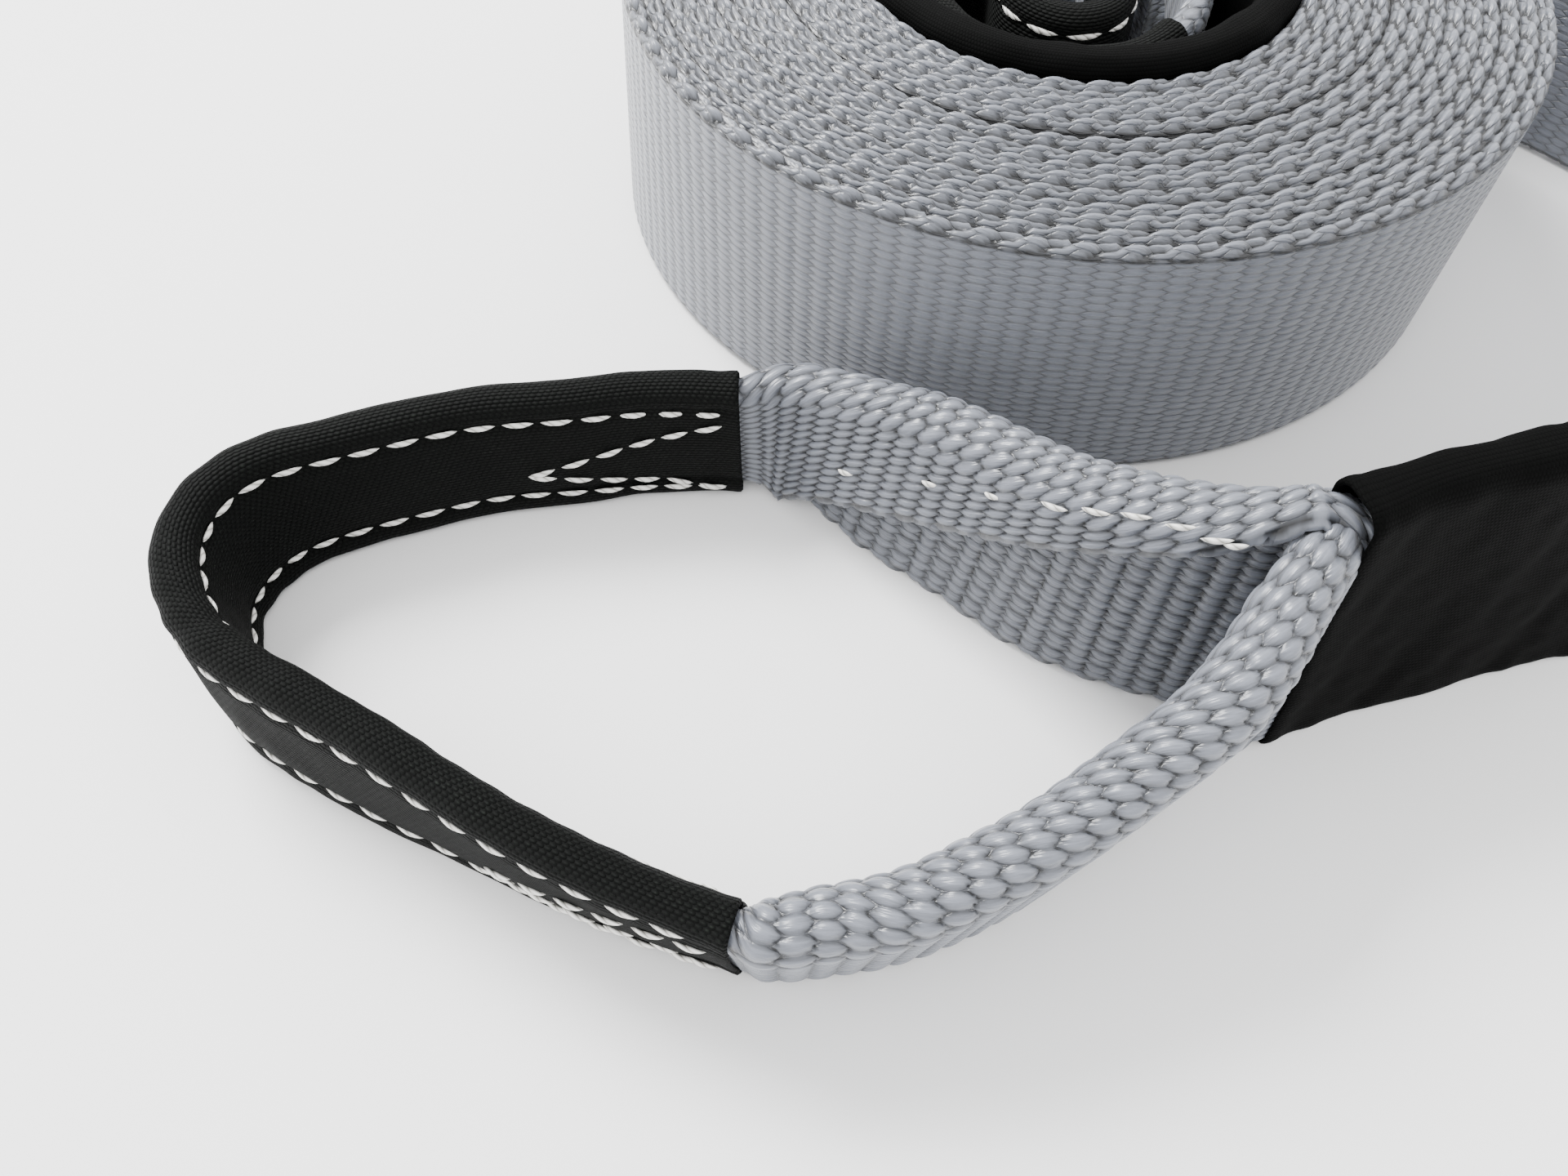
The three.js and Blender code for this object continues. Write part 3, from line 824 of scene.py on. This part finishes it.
def on_face(line, lean, s, z, side, reach):
    """Point and outward direction at distance s and height z, on the outer face (side -1) or
    the inner face (side 1), reach mm from the middle of the section."""
    run = distance(line)
    inward = sideways(line)
    x, y, nx, ny, slope = (np.interp(s, run, v) for v in (*line[:, :2].T, *inward.T, lean))
    across = side * reach - slope * z
    point = np.stack([x + nx * across, y + ny * across, z], -1)
    return point, np.stack([nx * side, ny * side, 0 * z], -1)


def sew(name, line, lean, rows, node, low, high, proud=0.32):
    """Cords over rows of (s, z, s, z, side), on the cloth between the heights low and high."""
    rows = np.array(rows, float)
    t = np.linspace(0, 1, 8)[None, :]
    s = rows[:, 0:1] * (1 - t) + rows[:, 2:3] * t
    z = rows[:, 1:2] * (1 - t) + rows[:, 3:4] * t
    side = np.broadcast_to(rows[:, 4:5], s.shape)
    upper, lower = high - SEAM_DROP, low + SEAM_RISE
    pinch = np.exp(-((z - upper) / 0.9) ** 2) + np.exp(-((z - lower) / 0.9) ** 2)
    slack = np.sin(np.pi * np.clip((z - lower) / (upper - lower), 0, 1))
    reach = SLEEVE_HALF + 0.07 - 0.5 * pinch + 0.32 * slack
    path, normal = on_face(line, lean, s, z, side, reach + proud * np.sin(np.pi * t))
    return cords(name, path, normal, node)


def sleeve_stitches(length, low, high, vees=True):
    """Ends of all stitches of a sleeve: two lines on both faces, and a V near each end."""
    stops = [2.5]
    while stops[-1] < length - 6:
        tight = np.exp(-((stops[-1] - 0.46 * length) / 18) ** 2)
        stops.append(stops[-1] + STITCH - 1.4 * tight)
    ends = np.array(stops)
    begin, finish = ends[:-1], ends[:-1] + 0.82 * np.diff(ends)
    rows = []

    def add(a, za, b, zb):
        """Stitches from distance a and height za to b and zb, on both faces."""
        for side in (-1, 1):
            rows.extend(np.stack([a, za + 0 * a, b, zb + 0 * b, side + 0 * a], 1).tolist())

    def foot(s):
        """Height of the lower line, which drops towards both ends."""
        return low + 2.6 + 1.9 * ease(np.minimum(s, length - s) / 45)

    add(begin, high - SEAM_DROP, finish, high - SEAM_DROP)
    add(begin, foot(begin), finish, foot(finish))
    for near in (False, True) if vees else ():
        for height in (high - 6.3, low + 1.9):
            t = np.linspace(0, 1, 7)
            s = 37 + (1.5 - 37) * t
            z = low + 9.7 + (height - low - 9.7) * t
            a, b = s[:-1], s[:-1] + 0.8 * np.diff(s)
            za, zb = z[:-1], z[:-1] + 0.8 * np.diff(z)
            if near:
                a, b = length - a, length - b
            add(a, za, b, zb)
    return rows


free_length = distance(free_line)[-1]
sew("free_sleeve_stitches", free_line, free_line[:, 2],
    sleeve_stitches(free_length, SLEEVE_LOW, SLEEVE_TOP), "free_eye_sleeve", SLEEVE_LOW, SLEEVE_TOP)

# %% [markdown]
# ## Stitches on the flap
# The flap of the far branch is tacked down by a line of shorter stitches, which starts low by
# the sleeve and climbs over the round of the fold. Each row is a stitch: its distance from the
# splice, its height and its length, worked back through the camera from where it shows.

# %% Flap stitches
at, height, size = np.array([
    (75.9, 16.8, 3.0), (61.1, 24.6, 3.0), (50.5, 30.2, 3.0), (40.9, 35.6, 4.2), (35.2, 38.4, 4.2),
    (29.9, 40.6, 4.2), (24.1, 42.2, 4.2), (19.4, 42.8, 4.0), (17.0, 43.1, 3.0)]).T
share = np.linspace(-0.5, 0.5, 8)[None, :]
far_line = spline(FAR, 0.5)
s = at[:, None] + size[:, None] * share
z = height[:, None] - 0.35 * size[:, None] * share
fold_top, fold = (np.interp(s, distance(far_line), far_line[:, c]) for c in (2, 3))
up_the_round = np.clip(z - fold_top + fold, 0, None)
reach = fold + np.sqrt(np.clip((fold + 2.0) ** 2 - up_the_round ** 2, 0.5, None))
path, normal = on_face(far_line, far_line[:, 4], s, z, 1, reach + 0.25 * np.cos(np.pi * share))
cords("flap_stitches", path, normal, "strap_webbing", 1.1, 0.8)

# %% [markdown]
# ## Splice covers
# A soft black cover hides each splice. It stands taller than the strap, bulges over the doubled
# webbing, and is widest at the mouth, where the two branches of the eye come out.

# %% Splice covers
COVER_TOP = 51.9
COVER = [(2.76, 2.07, 0.10, 1.0), (2.62, 2.03, 0.11, 1.0), (2.335, 1.965, 0.11, 1.0),
         (2.154, 1.905, 0.11, 1.0), (1.925, 1.840, 0.11, 1.03), (1.643, 1.763, 0.10, 1.1),
         (1.474, 1.705, 0.09, 1.25), (1.40, 1.685, 0.09, 1.25)]


def splice_cover(name, line, lean, half, node, seed):
    """Cover with soft slanting wrinkles and rolled hems, which widens towards its foot."""
    s = distance(line)[:, None]
    low, high = np.full((len(line), 1), 0.1), np.full((len(line), 1), COVER_TOP)
    section = tall_loop(half[:, None], low, high, 3.4, 1.8, (44, 8, 5))
    u, z = section[:2]
    face = np.clip(np.abs(u) / 3, 0, 1) ** 2
    relief = 0.28 * waves(s + 0.3 * z, 0.35 * z, 17, seed) * face
    relief = relief + 0.12 * waves(s, z, 7, seed + 1) * face
    hem = np.exp(-((s - 1.4) / 1.0) ** 2) + np.exp(-((s - s.max() + 1.4) / 1.0) ** 2)
    relief = (relief + 0.22 * hem - 0.15).clip(-0.6, 0.3) + 0.9 * (1 - z / COVER_TOP) ** 2 * face
    return shell(name, line, lean, section, relief, node, knit)


cover_line = spline(plan(COVER), 1.0)
width_at = cover_line[:, 0] + MIDDLE[0]
cover_line = cover_line[(width_at < 2.60 * STRAP) & (width_at > 1.474 * STRAP)]
splice_cover("free_cover", cover_line, cover_line[:, 2], 3.2 * cover_line[:, 3] + 0.9,
             "free_splice_cover", 11)

# %% [markdown]
# ## Inner end
# The last turn steps inwards to its own splice, which follows the wall of the bore under a
# second cover, and then opens into the rolled-up inner eye. The photograph only shows the top
# of it, so it repeats the free end at a smaller bend.

# %% Inner end
SPLICE_RADIUS = 38.7


def round_bore(radius, start, stop, step):
    """Arc round the coil's centre, where the radius is a function of the angle in degrees."""
    angle = np.linspace(start, stop, 2000)
    reach = radius(angle)
    fine = np.stack([COIL[0] + reach * np.cos(np.radians(angle)),
                     COIL[1] + reach * np.sin(np.radians(angle)), 0 * angle], 1)
    run = distance(fine)
    even = np.linspace(0, run[-1], int(run[-1] / step) + 1)
    return np.stack([np.interp(even, run, fine[:, c]) for c in range(3)], 1)


tail = round_bore(lambda a: 44.87 - 6.17 * ease((a - 45) / 110), 9.5, 384, 1.0)
tail_lift = 0.9 * ease((np.arange(len(tail)) - 95) / 20)
strap_on_edge("inner_tail", tail, 9000, (0, 9), lift=tail_lift)
bore_line = round_bore(lambda a: SPLICE_RADIUS + 0 * a, 172, 386, 1.5)
splice_cover("inner_cover", bore_line, 0 * bore_line[:, 0], np.full(len(bore_line), 4.1),
             "inner_splice_cover", 21)

INNER = np.array([
    (0.700, 0.335, 0.0, 1.00), (0.655, 0.417, 0.0, 1.00), (0.615, 0.480, 0.0, 1.00),
    (0.545, 0.590, 0.05, 0.98), (0.44, 0.645, 0.15, 0.95), (0.32, 0.62, 0.25, 0.92),
    (0.235, 0.50, 0.3, 0.88), (0.20, 0.33, 0.33, 0.86), (0.20, 0.15, 0.35, 0.85),
    (0.20, -0.02, 0.35, 0.85), (0.14, -0.17, 0.35, 0.85), (0.00, -0.24, 0.35, 0.85),
    (-0.14, -0.17, 0.35, 0.85), (-0.21, -0.02, 0.35, 0.85), (-0.20, 0.16, 0.35, 0.85),
    (-0.25, 0.31, 0.35, 0.85), (-0.38, 0.37, 0.35, 0.85), (-0.50, 0.26, 0.35, 0.85),
    (-0.555, 0.06, 0.35, 0.85), (-0.51, -0.20, 0.35, 0.85), (-0.36, -0.40, 0.35, 0.85),
    (-0.13, -0.50, 0.35, 0.85), (0.12, -0.50, 0.35, 0.85), (0.33, -0.37, 0.35, 0.86),
    (0.46, -0.18, 0.33, 0.88), (0.50, 0.02, 0.25, 0.93), (0.475, 0.20, 0.15, 0.97),
    (0.45, 0.33, 0.05, 1.0), (0.49, 0.42, 0.0, 1.00), (0.575, 0.44, 0.0, 1.00),
    (0.655, 0.400, 0.0, 1.00), (0.705, 0.320, 0.0, 1.00)])
inner_rows = INNER * STRAP
inner_rows[:, :2] += COIL
middle_line = spline(inner_rows, 1.0)
SLEEVE_ROWS = (8, 23)              # rows of INNER where the sleeve starts and ends
enter, leave = (int(np.argmin(np.linalg.norm(middle_line[:, :2] - inner_rows[n, :2], axis=1)))
                for n in SLEEVE_ROWS)
eye_line = middle_line[enter:leave + 1]
eye_sleeve("inner_sleeve", eye_line, 0 * eye_line[:, 0], eye_line[:, 2] + 0.4, eye_line[:, 3] + 1.7,
           "inner_eye_sleeve", 5, (20, 7, 4))
eye_low, eye_high = np.median(eye_line[:, 2]) + 0.4, np.median(eye_line[:, 3]) + 1.7
sew("inner_sleeve_stitches", eye_line, 0 * eye_line[:, 0],
    sleeve_stitches(distance(eye_line)[-1], eye_low, eye_high, False), "inner_eye_sleeve",
    eye_low, eye_high)


def inner_leg(name, start, stop, at):
    """One leg of the inner eye, folded like the free one but tighter."""
    part = middle_line[start:stop:6]
    radius = 1.45
    stand = part[:, :2] - sideways(part) * radius
    rows = np.column_stack([stand, part[:, 3] - 0.9, np.full(len(part), radius), 0 * part[:, 2],
                            part[:, 2] - 0.6 * (part[:, 2] < 1)])
    return folded_strap(name, rows, at, (56, 26), 0.9)


inner_leg("inner_eye_out", 0, enter + 13, 700)
inner_leg("inner_eye_back", leave - 12, len(middle_line), 900)

# %% [markdown]
# ## Floor and light
# The photograph has a white ground and soft light from above and behind on the left, so the
# shadows are faint and fall towards the right and the front. One large area light gives that,
# with a bright plain sky to fill.

# %% Floor and light
floor_mesh = bpy.data.meshes.new("floor")
floor_mesh.from_pydata([(-6, -6, 0), (6, -6, 0), (6, 6, 0), (-6, 6, 0)], [], [(0, 1, 2, 3)])
floor = bpy.data.objects.new("floor", floor_mesh)
bpy.context.scene.collection.objects.link(floor)
floor_paint = bpy.data.materials.new("floor_paint")
floor_paint.use_nodes = True
floor_paint.node_tree.nodes["Principled BSDF"].inputs["Base Color"].default_value = (0.95, 0.95, 0.95, 1)
floor_paint.node_tree.nodes["Principled BSDF"].inputs["Roughness"].default_value = 0.9
floor_mesh.materials.append(floor_paint)

world = bpy.data.worlds.new("studio")
world.use_nodes = True
world.node_tree.nodes["Background"].inputs[0].default_value = (1, 1, 1, 1)
world.node_tree.nodes["Background"].inputs[1].default_value = 2.3
bpy.context.scene.world = world


def area_light(name, place, size, power):
    """Square area light that points at the middle of the strap."""
    data = bpy.data.lights.new(name, "AREA")
    data.size = size
    data.energy = power
    light = bpy.data.objects.new(name, data)
    back = np.array(place) / np.linalg.norm(place)
    side = np.cross([0, 0, 1], back)
    side /= np.linalg.norm(side)
    matrix = np.eye(4)
    matrix[:3, :3] = np.stack([side, np.cross(back, side), back], 1)
    matrix[:3, 3] = place
    light.matrix_world = Matrix(matrix.tolist())
    bpy.context.scene.collection.objects.link(light)


area_light("key", (-0.8, 0.8, 1.2), 0.7, 62)
